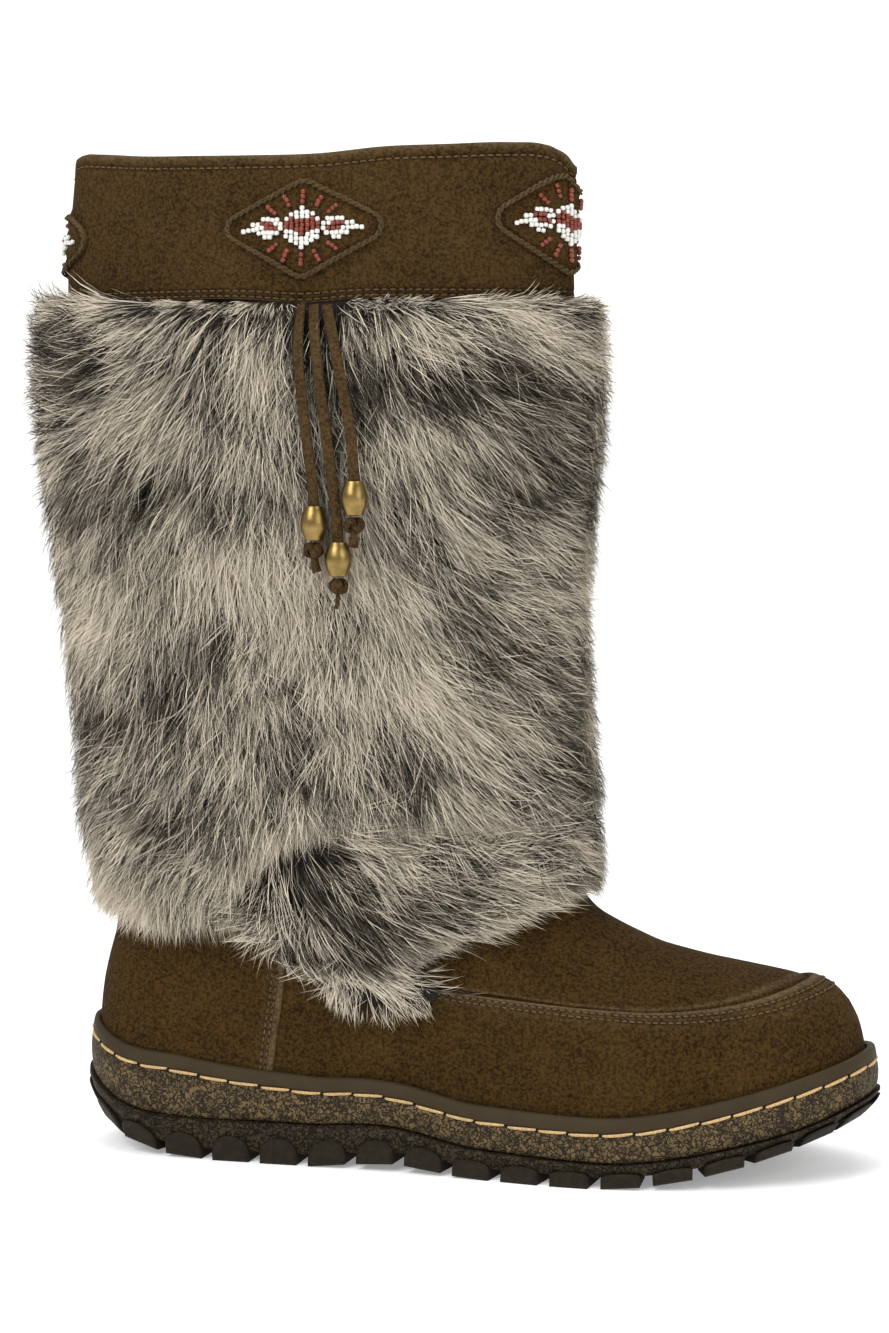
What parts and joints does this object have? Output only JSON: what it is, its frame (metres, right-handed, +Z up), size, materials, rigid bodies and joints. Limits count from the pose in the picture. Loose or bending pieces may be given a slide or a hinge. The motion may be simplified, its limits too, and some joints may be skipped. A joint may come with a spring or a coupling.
{
  "type": "winter boot",
  "caption": "Tall pull-on winter boot: suede foot, long-haired fur shaft, beaded suede cuff, thong tassel and a lugged rubber cup sole.",
  "frame": {"origin": "on the ground under the middle of the heel, where the boot rests", "axes": "+X towards the toe, +Y towards the inner side of the foot, +Z up"},
  "size_m": [0.3021, 0.1125, 0.3501],
  "materials": {
    "tread": "dark pebbled rubber",
    "rand": "brown pebbled rubber",
    "welt": "smooth matt rubber with sidewall stitching",
    "suede": "brown suede with a short nap",
    "lining": "cream fleece",
    "fur": "long mottled fur, dark at the root and cream at the tips",
    "thong": "soft cut suede",
    "bead": "aged brass with soft highlights"
  },
  "bodies": {
    "root": {"outsole": "tread", "midsole": "rand", "welt": "welt", "insole": "lining", "upper": "suede", "counter": "suede", "toe_wall": "suede", "fur_shaft": "fur", "fur_flap": "fur", "cuff": "suede", "patch_outer": "suede", "patch_front": "suede", "patch_inner": "suede", "patch_back": "suede", "thong_rear": "thong", "thong_middle": "thong", "thong_front": "thong", "bead_rear": "bead", "bead_middle": "bead", "bead_front": "bead", "knot_rear": "thong", "knot_middle": "thong", "knot_front": "thong"}
  },
  "joints": []
}
